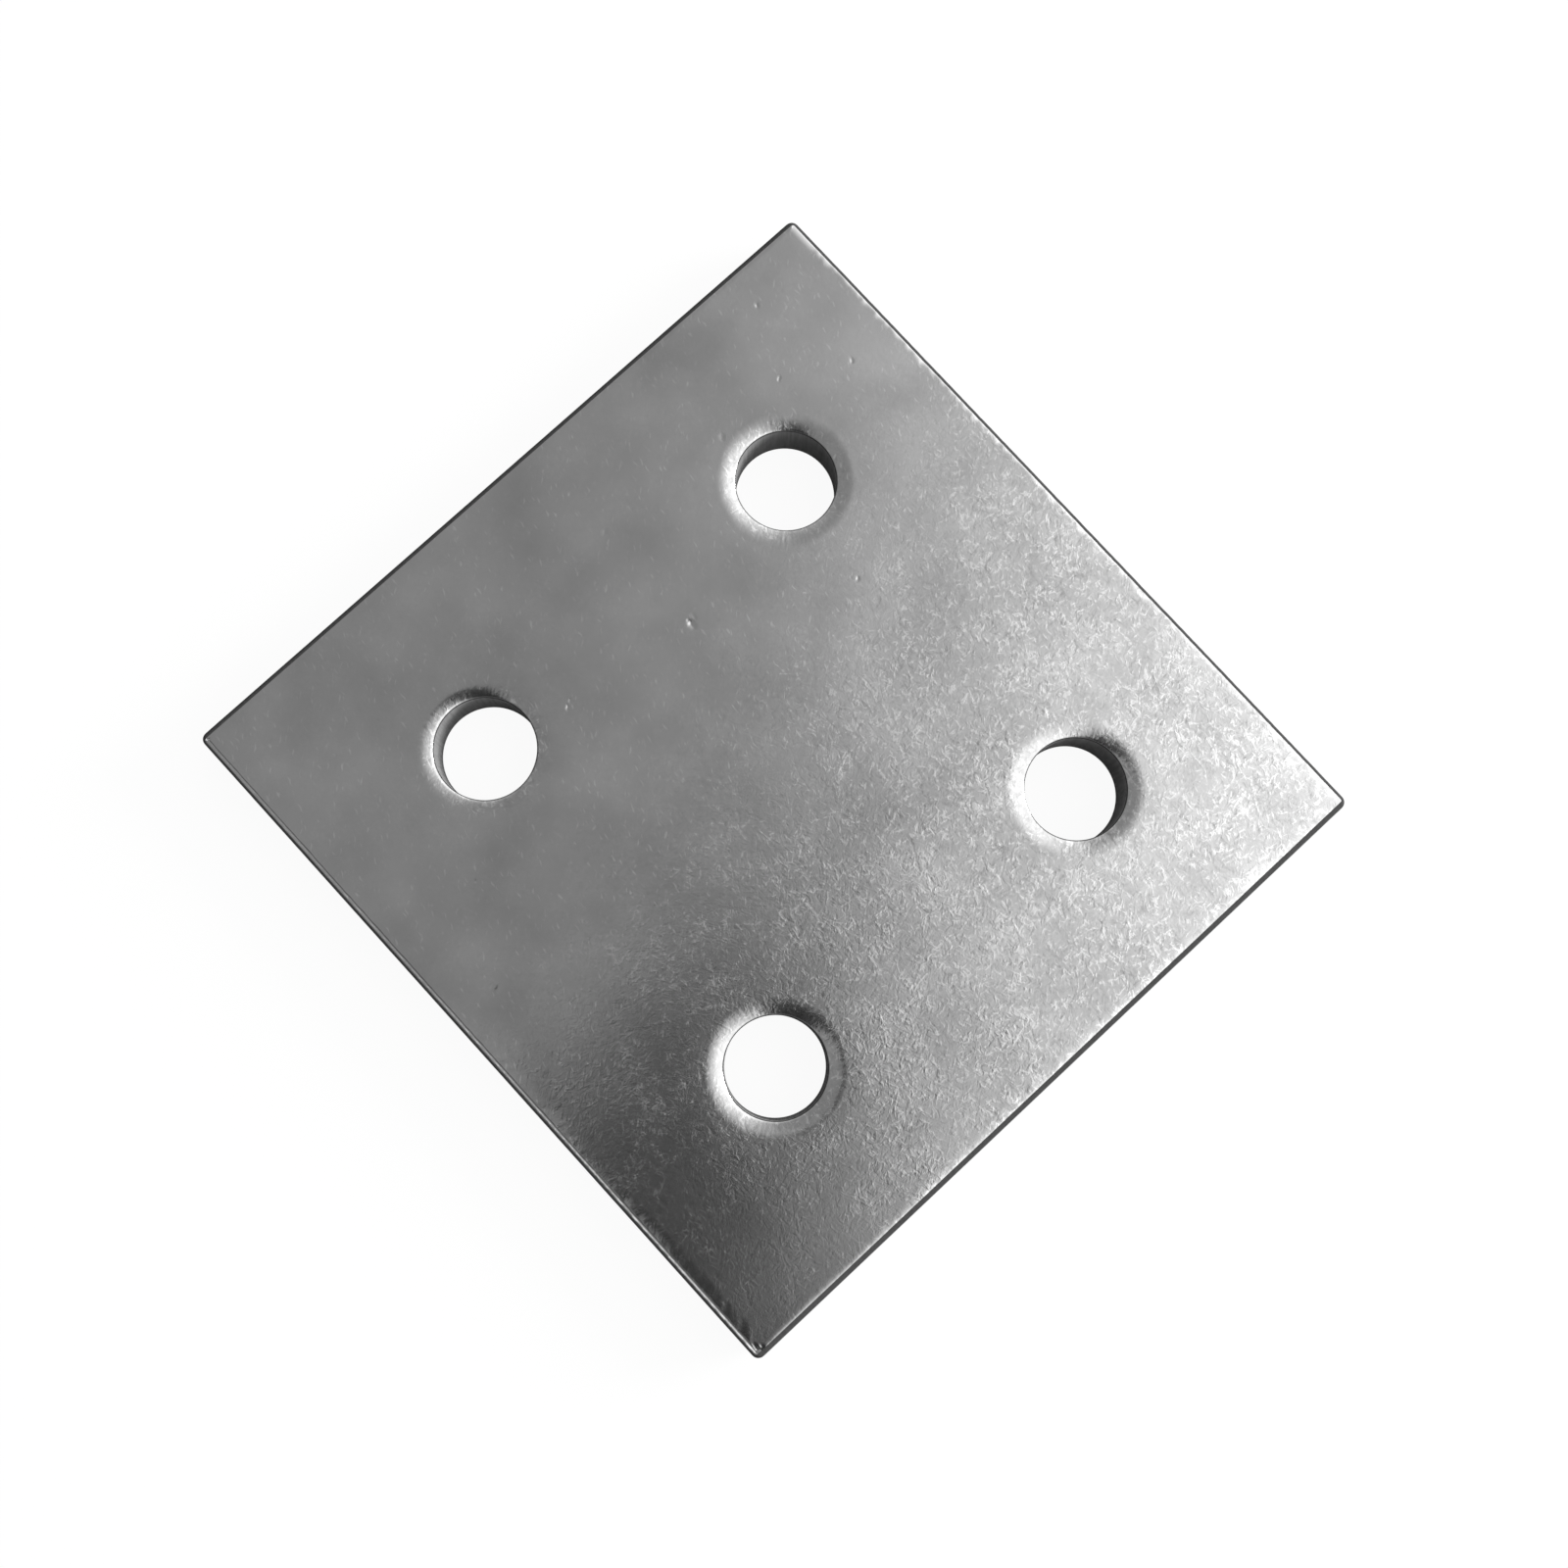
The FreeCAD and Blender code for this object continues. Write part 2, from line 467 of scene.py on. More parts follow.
@dataclass(frozen=True)
class SideEdge:
    """The top edge along one side, in millimetres.

    The face eases down, and the ease is worn away in strokes except near a corner where it is whole. A lip
    may lean back in after it, and a round leads over to the side. The wear is read from one slice of a noise.
    """

    ease: float
    drop: float
    round: float
    worn: float
    power: float = 2.0
    whole: float = 0.0
    whole_fade: float = 2.5
    lip: float = 0.0
    lip_rise: float = 0.0
    wear_mean: float = 0.6
    wear_mm: Span = (4.0, 0.6)
    wear_share: Span = (0.4, 1.2)
    wear_slice: float = 1.0
    ease_steps: int = 5
    rim_steps: int = 4
    round_steps: int = 6

    @property
    def rows(self) -> int:
        """Count the rows of points after the first."""
        return self.ease_steps + 1 + self.round_steps

    def surface(self, number: int) -> Surface:
        """Tell the surface that leads to a row.

        Args:
            number: the row, from 0 on the face.

        Returns:
            The face, the upper part of the round that is painted dark, or the side.
        """
        past = number - self.ease_steps - 1
        if past <= 0:
            return Surface.FACE
        return Surface.RIM if past <= self.rim_steps else Surface.SIDE

    def kept(self, spot: Vector, to_corner: float) -> float:
        """Tell how much of the ease is left at a spot.

        Args:
            spot: the spot on the plate's border.
            to_corner: how far the corner is from there.

        Returns:
            The share that is left, over 0 and up to 1.
        """
        worn = self.wear_mean
        for size, share in zip(self.wear_mm, self.wear_share):
            worn += share * noise.noise(Vector((spot.x, spot.y, self.wear_slice)) / size)
        if self.whole:
            worn *= smooth_step((to_corner - self.whole) / self.whole_fade)
        return 1.0 - self.worn * min(max(worn, 0.0), 1.0)

    def row(self, number: int, kept: float) -> tuple[float, float]:
        """Place one row of points across the edge.

        Args:
            number: the row, from 0 on the face.
            kept: how much of the ease there is at this spot, over 0 and up to 1.

        Returns:
            How far the row is in from the plate's outline, and how far under the face.
        """
        drop = self.drop * kept
        if number <= self.ease_steps:
            share = number / self.ease_steps
            eased = max(1 - (1 - share) / kept, 0.0)
            return self.round + self.lip + self.ease * (1 - share), drop * eased**self.power
        start = 0.0 if self.lip else math.atan2(self.power * self.drop, self.ease)
        share = (number - self.ease_steps - 1) / self.round_steps
        turn = start + (math.pi / 2 - start) * share
        size = self.round / (1 - math.sin(start))
        return size * (1 - math.sin(turn)), drop - self.lip_rise + size * (math.cos(start) - math.cos(turn))


@dataclass(frozen=True)
class BorderPoint:
    """A point on a quarter's border, and its outward direction where it lies on the plate's rim."""

    spot: Vector
    outward: Vector

    @property
    def on_rim(self) -> bool:
        """Tell whether the point lies on the plate's outer rim."""
        return self.outward.length > 0.0


Row = tuple[Callable[[int], Vector], Surface]


def stretch(placed: Callable[..., Vector], count: int, surface: Surface, first: int = 1) -> list[Row]:
    """List the rows of points at even shares of a stretch.

    Args:
        placed: places a point by its spoke and its share of the stretch.
        count: how many steps the stretch has.
        surface: the surface that leads to each row.
        first: the step of the first row.

    Returns:
        How each row's points are placed by their spoke, with its surface.
    """
    return [(partial(placed, share=step / count), surface) for step in range(first, count + 1)]


@dataclass
class EmbedPlate:
    """The plate as one skin, worked in four quarters with a hole in each. All sizes are in millimetres."""

    half_length: float
    half_width: float
    thickness: float
    holes: list[Hole]
    # The edges and the rolled-in rims of the holes
    corner_radius: float = 1.0
    edge_right: SideEdge = SideEdge(ease=1.5, drop=0.06, round=0.75, worn=0.5)
    edge_left: SideEdge = SideEdge(ease=0.6, drop=0.03, round=0.7, worn=0.4)
    edge_far: SideEdge = SideEdge(ease=0.9, drop=0.08, round=0.5, worn=0.92, whole=3.0)
    edge_near: SideEdge = SideEdge(
        ease=0.32, drop=0.22, round=0.38, worn=0.2, power=1.2, lip=0.22, lip_rise=0.04
    )
    under_break: float = 0.3
    hole_under_break: float = 0.3
    roll_width: float = 2.2
    roll_depth: float = 0.3
    roll_power: float = 1.85
    lip_round: float = 0.26
    lip_depth: float = 0.15
    ragged_ring: float = 7.0
    ragged_mm: Span = (2.5, 0.35)
    ragged_share: Span = (0.08, 0.03)
    # The top face, which is a little wavy, and dished towards the holes
    dish_reach: float = 2.0
    dish_depth: float = 0.012
    waviness: float = 0.035
    waviness_mm: float = 16.0
    waviness_slice: float = 4.0
    # How strong the marks on the face and their painted glints are: stronger towards the right and round the
    # holes, in strokes along the right edge, weaker near one corner
    marks_from: float = -22.0
    marks_to: float = 20.0
    marks_slant: float = 0.3
    marks_least: float = 0.13
    calm_reach: float = 46.0
    calm_least: float = 0.3
    worn_glint_mm: float = 6.0
    worn_glint_slice: float = 2.0
    worn_glint_mean: float = 0.4
    worn_glint_spread: float = 2.0
    worn_glint_share: float = 1.6
    worn_glint_reach: float = 4.0
    drawn_share: float = 0.9
    drawn_reach: float = 2.8
    # How closely the points lie, and how they are joined up
    border_step: float = 0.34
    corner_steps: int = 6
    roll_steps: int = 9
    lip_steps: int = 2
    wall_steps: int = 2
    face_steps: int = 17
    face_power: float = 1.5
    under_steps: int = 1
    weld: float = 0.002
    sliver: float = 0.001
    crease_deg: float = 34.0
    # The nicks. The mesh is made finer round each, within a share of its half length and a margin
    nick_margin: Span = (1.8, 0.6)
    nick_level: float = 0.9
    nick_long_edge: float = 0.7
    nick_long_cuts: int = 5
    nick_short_cuts: int = 1
    nicks: tuple[Nick, ...] = (
        Nick(-20.3, 4.8, 1.1, 0.7, 125.0, 0.08),
        Nick(-14.5, -35.4),
        Nick(-35.8, 33.5, 0.6, 0.25, 120.0),
        Nick(-44.6, 37.8, 0.5, 0.25),
        Nick(-29.3, -37.9, 0.6, 0.3, 150.0),
        Nick(-35.8, 4.4, 0.5, 0.3),
        Nick(-10.6, 23.4, 0.5, 0.25, 110.0),
        Nick(-2.9, -42.4),
        Nick(-35.0, 23.2, 0.6, 0.25, 130.0),
        Nick(-22.8, -13.2, 1.2, 0.35, 120.0, 0.045),
        Nick(-31.5, 41.8),
        Nick(-36.5, -31.2, 0.7, 0.35, 40.0),
        Nick(9.5, 2.5, 0.9, 0.35, 100.0),
        Nick(49.1, -47.3, 0.6, 0.45, 137.0, 0.07),
    )

    @classmethod
    def from_frame(cls) -> "EmbedPlate":
        """Take the plate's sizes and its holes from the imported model.

        Returns:
            The plate, with no mesh yet.
        """
        _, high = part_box("embed_plate")
        holes = [
            Hole(mount["pos_m"][0] / MM, mount["pos_m"][1] / MM, mount["dims"]["r_mm"])
            for mount in frame["record"]["mounts"]
            if mount["kind"] == "bore"
        ]
        return cls(high.x / MM, high.y / MM, high.z / MM, holes)

    def face_height(self, spot: Vector) -> float:
        """Give the height of the top face.

        Args:
            spot: the spot on the face.

        Returns:
            The height above the underside.
        """
        place = Vector((spot.x, spot.y, self.waviness_slice))
        wave = 0.5 + 0.5 * noise.noise(place / self.waviness_mm)
        height = self.thickness - self.waviness * wave
        for hole in self.holes:
            beyond = hole.beyond(spot) - self.roll_width
            height -= self.dish_depth * smooth_step(1.0 - beyond / self.dish_reach)
        return height

    def unsettled(self, spot: Vector) -> float:
        """Tell how far the surface is from the calm of one corner, from the least there up to 1."""
        to_corner = math.hypot(spot.x - self.half_length, spot.y + self.half_width)
        return self.calm_least + (1.0 - self.calm_least) * smooth_step(to_corner / self.calm_reach)

    def marks_and_glints(self, spot: Vector) -> float:
        """Tell how strong the marks on the face are at a spot, with the painted glints and bright strokes
        that they carry.

        The marks grow stronger towards the right, less so near the corner that stays calm. Along the right
        edge they rise in strokes, deepening the relief and raising painted glints that draw bright dashes,
        and drawing raises them round the holes.

        Args:
            spot: the spot on the plate.

        Returns:
            The strength of the grain, from zero up.
        """
        along = (spot.x + self.marks_slant * spot.y - self.marks_from) / (self.marks_to - self.marks_from)
        share = self.marks_least + (1.0 - self.marks_least) * smooth_step(along)
        share *= self.unsettled(spot)
        # Along the right edge the marks rise in strokes: deeper relief, and painted glints that draw bright
        # dashes
        stroke = noise.noise(Vector((spot.y, 0.0, self.worn_glint_slice)) / self.worn_glint_mm)
        worn = self.worn_glint_share * smooth_step(self.worn_glint_mean + self.worn_glint_spread * stroke)
        share = max(share, worn * smooth_step(1.0 - (self.half_length - spot.x) / self.worn_glint_reach))
        for hole in self.holes:
            drawn = smooth_step(1.0 - hole.beyond(spot) / self.drawn_reach)
            share = max(share, self.drawn_share * drawn)
        return share

    def loft(
        self, shape: bmesh.types.BMesh, edges: Iterable[bmesh.types.BMEdge], rows: Iterable[Row]
    ) -> list[bmesh.types.BMEdge]:
        """Extrude edges from row to row of points.

        Args:
            shape: the mesh.
            edges: the edges to start from.
            rows: how the points of each new row are placed by their spoke, and the surface that leads there.

        Returns:
            The edges of the last row.
        """
        spoke = shape.verts.layers.int["spoke"]
        row = list(edges)
        for placed, surface in rows:
            grown = bmesh.ops.extrude_edge_only(shape, edges=row)["geom"]
            points = {item for item in grown if isinstance(item, bmesh.types.BMVert)}
            for point in points:
                point.co = placed(point[spoke])
            row = [
                item
                for item in grown
                if isinstance(item, bmesh.types.BMEdge) and all(point in points for point in item.verts)
            ]
            for edge in row:
                for face in edge.link_faces:
                    face.material_index = surface.value
        return row

    def add_quarter(self, shape: bmesh.types.BMesh, hole: Hole) -> None:
        """Add the quarter round one hole: its wall and roll, its share of both faces and of the plate's rim.

        Args:
            shape: the mesh that gets the quarter.
            hole: the hole that the quarter surrounds.
        """
        quarter = Quarter(self, hole)
        spoke = shape.verts.layers.int.get("spoke") or shape.verts.layers.int.new("spoke")
        spokes = len(quarter.border)
        mouth = bmesh.ops.create_circle(shape, cap_ends=False, radius=1.0, segments=spokes)["verts"]
        for number, point in enumerate(mouth):
            point[spoke] = number
            point.co = quarter.under(number, 0.0)
        mouth_edges = list({edge for point in mouth for edge in point.link_edges})
        self.loft(shape, mouth_edges, stretch(quarter.under, self.under_steps, Surface.FACE))

        roll = stretch(quarter.roll, self.roll_steps, Surface.FACE)
        upward = stretch(quarter.wall, self.wall_steps, Surface.WALL, first=0)
        # The first rows of the roll, at the hole's lip, take the rim's finish, painted dark as a dark
        # reflection
        upward += [(placed, Surface.RIM) for placed, _ in roll[: self.lip_steps]]
        upward += roll[self.lip_steps :]
        upward += stretch(quarter.face, self.face_steps, Surface.FACE)
        rim_edges = [
            edge
            for edge in self.loft(shape, mouth_edges, upward)
            if all(quarter.border[point[spoke]].on_rim for point in edge.verts)
        ]
        over = [
            (partial(quarter.edge, row=row), quarter.edge_x.surface(row))
            for row in range(1, quarter.edge_x.rows + 1)
        ]
        over += stretch(quarter.side, self.wall_steps, Surface.SIDE)
        over.append((partial(quarter.under, share=1.0), Surface.SIDE))
        self.loft(shape, rim_edges, over)

    def add_nick(self, shape: bmesh.types.BMesh, nick: Nick) -> None:
        """Press a nick into the top face, on points added where it lies.

        Args:
            shape: the mesh, in millimetres.
            nick: the nick.
        """
        reach = self.nick_margin[0] * nick.length + self.nick_margin[1]
        near = [
            face
            for face in shape.faces
            if face.normal.z > self.nick_level and (face.calc_center_median().xy - nick.spot).length < reach
        ]
        for longer, cuts in ((True, self.nick_long_cuts), (False, self.nick_short_cuts)):
            edges = {edge for face in near if face.is_valid for edge in face.edges}
            edges = [edge for edge in edges if (edge.calc_length() > self.nick_long_edge) == longer]
            split = bmesh.ops.subdivide_edges(shape, edges=edges, cuts=cuts, use_grid_fill=True)["geom"]
            near = list(set(near) | {item for item in split if isinstance(item, bmesh.types.BMFace)})
        for point in {point for face in near if face.is_valid for point in face.verts}:
            point.co.z -= nick.depth_at(point.co)

    def clean(self, shape: bmesh.types.BMesh) -> None:
        """Leave one closed skin, with no face that has no area or hangs on by an edge.

        Args:
            shape: the mesh, in millimetres.
        """
        bmesh.ops.remove_doubles(shape, verts=shape.verts, dist=self.weld)
        bmesh.ops.triangulate(shape, faces=[face for face in shape.faces if len(face.verts) > 4])
        bmesh.ops.dissolve_degenerate(shape, edges=shape.edges, dist=self.sliver)
        stray = [face for face in shape.faces if any(edge.is_boundary for edge in face.edges)]
        bmesh.ops.delete(shape, geom=stray, context="FACES")

    def build(self) -> bpy.types.Object:
        """Build the plate's mesh and dress it.

        Returns:
            The plate's object, at the origin.
        """
        shape = bmesh.new()
        for hole in self.holes:
            self.add_quarter(shape, hole)
        bmesh.ops.remove_doubles(shape, verts=shape.verts, dist=self.weld)
        bmesh.ops.recalc_face_normals(shape, faces=shape.faces)
        for nick in self.nicks:
            self.add_nick(shape, nick)
        self.clean(shape)
        marks_and_glints = shape.verts.layers.float.new("marks_and_glints")
        for point in shape.verts:
            point[marks_and_glints] = self.marks_and_glints(point.co)
        bmesh.ops.scale(shape, vec=Vector((MM, MM, MM)), verts=shape.verts)
        for face in shape.faces:
            face.smooth = True
        mesh = bpy.data.meshes.new("punched_plate")
        shape.to_mesh(mesh)
        shape.free()
        mesh.set_sharp_from_angle(angle=math.radians(self.crease_deg))
        for surface in Surface:
            mesh.materials.append(FINISHES[surface].material())
        plate = bpy.data.objects.new("punched_plate", mesh)
        bpy.context.scene.collection.objects.link(plate)
        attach(plate, "root")
        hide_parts("embed_plate")
        return plate


@dataclass
class Quarter:
    """The points of one quarter of the plate, on spokes that run from its hole to its border."""

    plate: EmbedPlate
    hole: Hole
    side_x: float = field(init=False)
    side_y: float = field(init=False)
    edge_x: SideEdge = field(init=False)
    edge_y: SideEdge = field(init=False)
    centre: Vector = field(init=False)
    border: list[BorderPoint] = field(init=False)
    ends: list[Vector] = field(init=False)
    rays: list[Vector] = field(init=False)
    roll_widths: list[float] = field(init=False)

    def __post_init__(self) -> None:
        """Walk the border and aim the spokes at it."""
        self.side_x = math.copysign(1.0, self.hole.x)
        self.side_y = math.copysign(1.0, self.hole.y)
        self.edge_x = self.plate.edge_right if self.side_x > 0 else self.plate.edge_left
        self.edge_y = self.plate.edge_far if self.side_y > 0 else self.plate.edge_near
        self.centre = Vector((self.hole.x, self.hole.y))
        self.border = self.walk()
        self.ends = [self.edge(number, 0).xy for number in range(len(self.border))]
        self.rays = [(end - self.centre).normalized() for end in self.ends]
        self.roll_widths = [self.plate.roll_width * self.ragged_rim(ray) for ray in self.rays]

    @property
    def reach_x(self) -> float:
        """Give the X of the border's straight run along the plate's end."""
        return self.side_x * (self.plate.half_length - self.plate.corner_radius)

    @property
    def reach_y(self) -> float:
        """Give the Y of the border's straight run along the plate's side."""
        return self.side_y * (self.plate.half_width - self.plate.corner_radius)

    def walk(self) -> list[BorderPoint]:
        """Walk the border from the plate's middle out along X and round.

        Returns:
            The border's points in order.
        """
        plate = self.plate
        reach_x, reach_y = abs(self.reach_x), abs(self.reach_y)
        steps = round(reach_x / plate.border_step)
        shares = [step / steps for step in range(steps)]
        points = [(share * reach_x, 0.0, 0.0, 0.0) for share in shares]
        points += [(reach_x, share * reach_y, 1.0, 0.0) for share in shares]
        for step in range(plate.corner_steps):
            turn = math.pi / 2 * step / plate.corner_steps
            points.append((reach_x, reach_y, math.cos(turn), math.sin(turn)))
        points += [((1 - share) * reach_x, reach_y, 0.0, 1.0) for share in shares]
        points.append((0.0, reach_y, 0.0, 1.0))
        points += [(0.0, (1 - share) * reach_y, 0.0, 0.0) for share in shares[1:]]
        return [
            BorderPoint(
                Vector((self.side_x * x, self.side_y * y)),
                Vector((self.side_x * out_x, self.side_y * out_y)),
            )
            for x, y, out_x, out_y in points
        ]

    def ragged_rim(self, ray: Vector) -> float:
        """Tell how much wider or narrower the hole's roll is along a ray.

        Args:
            ray: the direction from the hole's axis.

        Returns:
            The roll's width there, as a share of its mean.
        """
        spot = (self.centre + self.plate.ragged_ring * ray).to_3d()
        width = 1.0
        for size, share in zip(self.plate.ragged_mm, self.plate.ragged_share):
            width += share * noise.noise(spot / size)
        return width

    def to_corner(self, spot: Vector) -> float:
        """Tell how far a spot on the border is from the quarter's corner."""
        return abs(abs(spot.x) - abs(self.reach_x)) + abs(abs(spot.y) - abs(self.reach_y))

    def edge(self, number: int, row: int) -> Vector:
        """Place a border point's row across the plate's top edge, or off the rim, the point itself.

        Args:
            number: the border point.
            row: the row across the edge, from 0 on the face.

        Returns:
            The place of the row's point.
        """
        plate, point = self.plate, self.border[number]
        # A point on a line between two quarters keeps to the edge at that line's end
        spot_x = point.spot if point.on_rim else Vector((self.reach_x, 0.0))
        spot_y = point.spot if point.on_rim else Vector((0.0, self.reach_y))
        kept_x = self.edge_x.kept(spot_x, self.to_corner(spot_x)) * plate.unsettled(spot_x)
        kept_y = self.edge_y.kept(spot_y, self.to_corner(spot_y))
        start_x, start_y = self.edge_x.row(0, kept_x)[0], self.edge_y.row(0, kept_y)[0]
        if not point.on_rim:
            x = point.spot.x * (plate.half_length - start_x) / abs(self.reach_x)
            y = point.spot.y * (plate.half_width - start_y) / abs(self.reach_y)
            return Vector((x, y, plate.face_height(Vector((x, y)))))
        inset_x, drop_x = self.edge_x.row(row, kept_x)
        inset_y, drop_y = self.edge_y.row(row, kept_y)
        drop = drop_x * point.outward.x**2 + drop_y * point.outward.y**2
        # Rows inside the corner's round meet in one point there, so they share one height
        if self.to_corner(point.spot) < plate.weld and max(inset_x, inset_y) >= plate.corner_radius:
            drop = max(drop_x, drop_y)
        flat = self.inset(point, inset_x, inset_y)
        return Vector((flat.x, flat.y, plate.face_height(self.inset(point, start_x, start_y)) - drop))

    def inset(self, point: BorderPoint, inset_x: float, inset_y: float) -> Vector:
        """Move a rim point in from the plate's outline.

        Args:
            point: the rim point.
            inset_x: how far in from the plate's end.
            inset_y: how far in from the plate's side.

        Returns:
            The place on the rounded outline that is left.
        """
        plate = self.plate
        radius = max(plate.corner_radius - max(inset_x, inset_y), 0.0)
        half_x = plate.half_length - inset_x - radius
        half_y = plate.half_width - inset_y - radius
        x = half_x if point.outward.x else min(abs(point.spot.x), half_x)
        y = half_y if point.outward.y else min(abs(point.spot.y), half_y)
        return Vector((self.side_x * x, self.side_y * y)) + point.outward * radius

    def under(self, number: int, share: float) -> Vector:
        """Place a point on the underside.

        Args:
            number: the spoke.
            share: how much of the way it is from the hole's mouth to the border.

        Returns:
            The place of the point.
        """
        plate, point = self.plate, self.border[number]
        start = self.centre + self.rays[number] * (self.hole.radius + plate.hole_under_break)
        end = self.inset(point, plate.under_break, plate.under_break) if point.on_rim else self.ends[number]
        return start.lerp(end, share).to_3d()

    def rim_start(self, number: int) -> Vector:
        """Place the point where the top face goes over into the hole's roll."""
        start = self.centre + self.rays[number] * (self.hole.radius + self.roll_widths[number])
        return Vector((start.x, start.y, self.plate.face_height(start)))

    def wall(self, number: int, share: float) -> Vector:
        """Place a point on the hole's wall.

        Args:
            number: the spoke.
            share: how much of the way it is from the mouth to the lip.

        Returns:
            The place of the point.
        """
        flat = self.centre + self.rays[number] * self.hole.radius
        low, lip = self.plate.hole_under_break, self.roll(number, 0.0).z
        return Vector((flat.x, flat.y, low + (lip - low) * share))

    def roll(self, number: int, share: float) -> Vector:
        """Place a point on the hole's roll, with the points closer near the lip.

        Args:
            number: the spoke.
            share: how much of the way it is from the lip to the top face.

        Returns:
            The place of the point.
        """
        plate, start, width = self.plate, self.rim_start(number), self.roll_widths[number]
        inward = (1 - share**2) * width
        flat = start.xy - self.rays[number] * inward
        drop = plate.roll_depth * (1 - share**2) ** plate.roll_power
        past = min(max((inward - width) / plate.lip_round + 1, 0.0), 1.0)
        drop += plate.lip_depth * (1 - math.sqrt(1 - past**2))
        return Vector((flat.x, flat.y, start.z - drop))

    def face(self, number: int, share: float) -> Vector:
        """Place a point on the top face, with the points closer near the hole."""
        flat = self.rim_start(number).xy.lerp(self.ends[number], share**self.plate.face_power)
        return Vector((flat.x, flat.y, self.plate.face_height(flat)))

    def side(self, number: int, share: float) -> Vector:
        """Place a point on the plate's sheared side, that share of the way down."""
        top = self.edge(number, self.edge_x.rows)
        return Vector((top.x, top.y, top.z + (self.plate.under_break - top.z) * share))


@dataclass
class Studio:
    """A white floor in a grey studio, with a bright window on one side and a dark flag above the near side.

    A level is the light that comes from a direction, where 1 is white. A band is where one level eases into
    another: over the height of the direction, which is 1 straight up, or over its closeness to an azimuth.
    The flag's edges are slopes of the direction, sideways over upward. The sky is dimmed low down.
    """

    floor_size: float = 6.0
    floor_gap_mm: float = 0.1
    paper_colour: str = "f4f4f4"
    shade_colour: str = "5c5c5c"
    paper_glow: float = 0.94
    low_level: float = 0.08
    ceiling_level: float = 0.39
    ceiling_band: Span = (0.1, 0.85)
    window_level: float = 2.0
    window_rise: float = 4.98
    window_azimuth: float = 47.6
    window_spread: float = 95.2
    dimmed_share: float = 0.4
    dimmed_band: Span = (0.2, 0.65)
    far_level: float = 0.55
    far_azimuth: float = 135.0
    far_band: Span = (0.35, 0.95)
    near_level: float = 0.4
    near_azimuth: float = -48.0
    near_band: Span = (0.3, 0.9)
    wall_level: float = 0.5
    wall_band: Span = (0.1, 0.32)
    flag_level: float = 0.036
    flag_side: Span = (-0.0626, -0.0426)
    flag_lean: float = 0.235
    flag_edge: Span = (-0.058, 0.121)
    flag_slant: float = 0.635
    flag_band: Span = (0.6, 0.85)
    least_height: float = 0.05
    lamp_azimuth: float = 62.0
    lamp_elevation: float = 23.0
    lamp_distance: float = 0.8
    lamp_size: float = 0.3
    lamp_power: float = 8.0

    def floor(self) -> bpy.types.Object:
        """Lay the floor just under the plate.

        Returns:
            The floor's object.
        """
        shape = bmesh.new()
        bmesh.ops.create_grid(shape, x_segments=1, y_segments=1, size=self.floor_size / 2)
        bmesh.ops.translate(shape, vec=Vector((0.0, 0.0, -self.floor_gap_mm * MM)), verts=shape.verts)
        mesh = bpy.data.meshes.new("studio_floor")
        shape.to_mesh(mesh)
        shape.free()
        mesh.materials.append(self.floor_material())
        floor = bpy.data.objects.new("studio_floor", mesh)
        bpy.context.scene.collection.objects.link(floor)
        return floor

    def floor_material(self) -> bpy.types.Material:
        """Build white paper that shows white to the eye and in reflections, and keeps a faint shadow.

        The light that it throws back up into the holes is held down to a grey.

        Returns:
            The material.
        """
        made = new_material("white_paper")
        add = partial(add_node, made.node_tree)
        rays = add("ShaderNodeLightPath", {}).node.outputs
        seen = rays["Is Camera Ray"]
        for kind in ("Is Glossy Ray", "Is Transmission Ray"):
            seen = add("ShaderNodeMath", {0: seen, 1: rays[kind]}, operation="MAXIMUM")
        shade = add("ShaderNodeBsdfDiffuse", {"Color": linear(self.shade_colour)})
        paper = add("ShaderNodeBsdfDiffuse", {"Color": linear(self.paper_colour)})
        white = add("ShaderNodeEmission", {"Color": linear("ffffff"), "Strength": 1.0})
        shown = add("ShaderNodeMixShader", {0: self.paper_glow, 1: paper, 2: white})
        floor = add("ShaderNodeMixShader", {0: seen, 1: shade, 2: shown})
        add("ShaderNodeOutputMaterial", {"Surface": floor})
        return made

    def world(self) -> bpy.types.World:
        """Build the studio's light as levels over the directions of the sky.

        Returns:
            The world.
        """
        made = bpy.data.worlds.new("studio_light")
        made.use_nodes = True
        made.node_tree.nodes.clear()
        add = partial(add_node, made.node_tree)
        sky = add("ShaderNodeTexCoord", {}, "Generated")
        along, across, height = add("ShaderNodeSeparateXYZ", {0: sky}).node.outputs
        window, far, near = (
            add("ShaderNodeVectorMath", {0: sky, 1: polar(azimuth, 0.0)}, "Value", operation="DOT_PRODUCT")
            for azimuth in (self.window_azimuth, self.far_azimuth, self.near_azimuth)
        )
        window_band = (math.cos(math.radians(self.window_spread)), 1.0)
        ceiling, window, far, higher, near, walls = (
            add("ShaderNodeMapRange", {0: value, **between(band, levels)}, **EASED)
            for value, band, levels in (
                (height, self.ceiling_band, (self.low_level, self.ceiling_level)),
                (window, window_band, (0.0, self.window_rise)),
                (far, self.far_band, (0.0, self.far_level)),
                (height, self.dimmed_band, (self.dimmed_share, 1.0)),
                (near, self.near_band, (1.0, self.near_level)),
                (height, self.wall_band, (self.wall_level, 0.0)),
            )
        )
        level = ceiling
        for light in (window, far):
            level = add("ShaderNodeMath", {0: level, 1: light}, operation="ADD")
        level = add("ShaderNodeMath", {0: level, 1: self.window_level}, operation="MINIMUM")
        level = add("ShaderNodeMath", {0: level, 1: higher}, operation="MULTIPLY")
        level = add("ShaderNodeMath", {0: level, 1: near, 2: walls}, operation="MULTIPLY_ADD")
        flag = self.flag(add, along, across, height)
        level = add("ShaderNodeMix", {0: flag, 2: level, 3: self.flag_level}, data_type="FLOAT")
        light = add("ShaderNodeBackground", {"Color": linear("ffffff"), "Strength": level})
        add("ShaderNodeOutputWorld", {"Surface": light})
        bpy.context.scene.world = made
        return made

